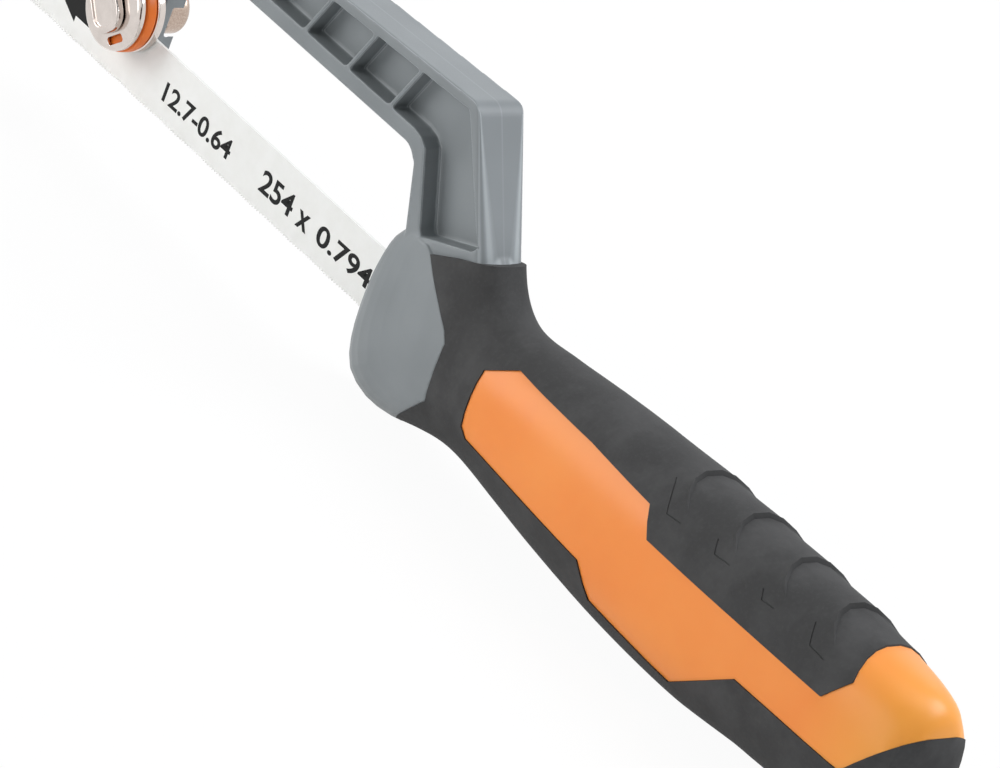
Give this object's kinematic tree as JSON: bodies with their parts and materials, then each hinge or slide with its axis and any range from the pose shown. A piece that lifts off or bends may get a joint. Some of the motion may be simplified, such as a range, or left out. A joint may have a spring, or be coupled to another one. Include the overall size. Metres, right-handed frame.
{
  "type": "close-quarters hacksaw",
  "caption": "Close-quarters hacksaw with a ribbed half frame, an in-line soft-grip handle and a fine-toothed blade held by a hand clamp, for cutting pipe and metal in tight places.",
  "frame": {"origin": "centre of the blade's front hole, on the blade's mid-plane", "axes": "+X along the blade towards the heel of the handle, +Z towards the back of the frame, the clamp knob on the -Y side"},
  "size_m": [0.287, 0.0266, 0.0638],
  "materials": {
    "frame_grey": "satin grey",
    "core_orange": "semi-gloss orange",
    "grip_rubber": "soft matte black",
    "blade_paint": "off-white paint",
    "tooth_steel": "off-white paint over hard steel",
    "bright_chrome": "bright plated",
    "knob_orange": "semi-gloss orange",
    "insert_brass": "turned",
    "pin_steel": "drawn"
  },
  "bodies": {
    "saw_frame": {"frame": "frame_grey", "handle_core": "core_orange", "soft_grip": "grip_rubber", "clamp_bolt": "bright_chrome"},
    "blade": {"blade_back": "blade_paint", "blade_teeth": "tooth_steel"},
    "washer": {"clamp_washer": "bright_chrome"},
    "knob": {"knob_body": "knob_orange", "knob_insert": "insert_brass", "knob_cap": "bright_chrome", "wing_pin": "pin_steel"},
    "wing": {"knob_wing": "bright_chrome"}
  },
  "joints": [
    {"name": "blade_slide", "type": "slide", "parent": "saw_frame", "child": "blade", "axis": [1, 0, 0], "range_m": [-0.105, 0.012]},
    {"name": "clamp_travel", "type": "slide", "parent": "saw_frame", "child": "washer", "axis": [0, -1, 0], "range_m": [0, 0.0016]},
    {"name": "knob_turn", "type": "hinge", "parent": "washer", "child": "knob", "pos_m": [0.0375, 0, 0.00915], "axis": [0, -1, 0], "range_deg": [0, 720]},
    {"name": "wing_flip", "type": "hinge", "parent": "knob", "child": "wing", "pos_m": [0.03456, -0.00862, 0.01242], "axis": [-0.7431, 0, -0.6691], "range_deg": [0, 90]}
  ],
  "couplings": [
    {"joint": "clamp_travel", "follows": "knob_turn", "m_per_rad": 0.0001273}
  ]
}
